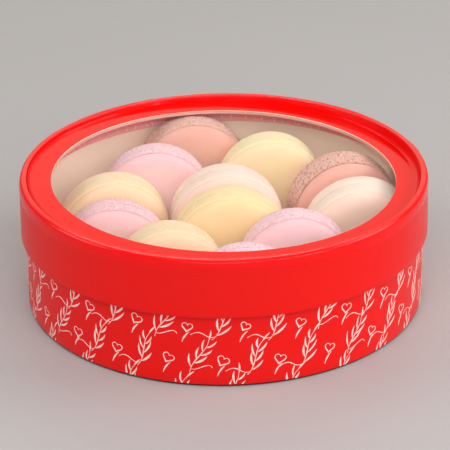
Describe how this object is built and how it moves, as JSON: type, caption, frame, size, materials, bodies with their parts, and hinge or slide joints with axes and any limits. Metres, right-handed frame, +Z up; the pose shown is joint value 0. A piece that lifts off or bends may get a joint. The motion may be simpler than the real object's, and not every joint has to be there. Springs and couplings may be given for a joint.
{
  "type": "macaron tube box",
  "caption": "Round shut gift box: card tube with a printed wrap, telescoping red lid with a rolled lip and clear round window, and macarons standing on edge inside.",
  "frame": {"origin": "centre of the base, on the surface the box rests on", "axes": "+Z up through the lid's window; the front of the box, as the picture shows it, faces -Y; +X to the right"},
  "size_m": [0.16, 0.16, 0.0524],
  "materials": {
    "red_wrap": "satin laminated red paper over card",
    "printed_wrap": "satin red paper with fine white print",
    "raw_card": "uncoated board",
    "clear_film": "clear glossy film",
    "shell_rose": "baked almond shell, matt",
    "shell_pink": "baked almond shell, matt",
    "shell_yellow": "baked almond shell, matt",
    "shell_white": "baked almond shell, matt",
    "shell_mauve": "baked almond shell, matt",
    "filling_cream": "soft cream filling"
  },
  "bodies": {
    "root": {"body_base": "raw_card", "body_tube": "printed_wrap", "body_turn_in": "printed_wrap", "lid_tube": "red_wrap", "lid_panel": "red_wrap", "window_film": "clear_film", "macaron_01_front_shell": "shell_rose", "macaron_01_filling": "filling_cream", "macaron_01_back_shell": "shell_rose", "macaron_02_front_shell": "shell_pink", "macaron_02_filling": "filling_cream", "macaron_02_back_shell": "shell_pink", "macaron_03_front_shell": "shell_yellow", "macaron_03_filling": "filling_cream", "macaron_03_back_shell": "shell_yellow", "macaron_04_front_shell": "shell_mauve", "macaron_04_filling": "filling_cream", "macaron_04_back_shell": "shell_mauve", "macaron_05_front_shell": "shell_white", "macaron_05_filling": "filling_cream", "macaron_05_back_shell": "shell_white", "macaron_06_front_shell": "shell_white", "macaron_06_filling": "filling_cream", "macaron_06_back_shell": "shell_white", "macaron_07_front_shell": "shell_yellow", "macaron_07_filling": "filling_cream", "macaron_07_back_shell": "shell_yellow", "macaron_08_front_shell": "shell_yellow", "macaron_08_filling": "filling_cream", "macaron_08_back_shell": "shell_yellow", "macaron_09_front_shell": "shell_pink", "macaron_09_filling": "filling_cream", "macaron_09_back_shell": "shell_pink", "macaron_10_front_shell": "shell_yellow", "macaron_10_filling": "filling_cream", "macaron_10_back_shell": "shell_yellow", "macaron_11_front_shell": "shell_pink", "macaron_11_filling": "filling_cream", "macaron_11_back_shell": "shell_pink", "macaron_12_front_shell": "shell_pink", "macaron_12_filling": "filling_cream", "macaron_12_back_shell": "shell_pink"}
  },
  "joints": []
}
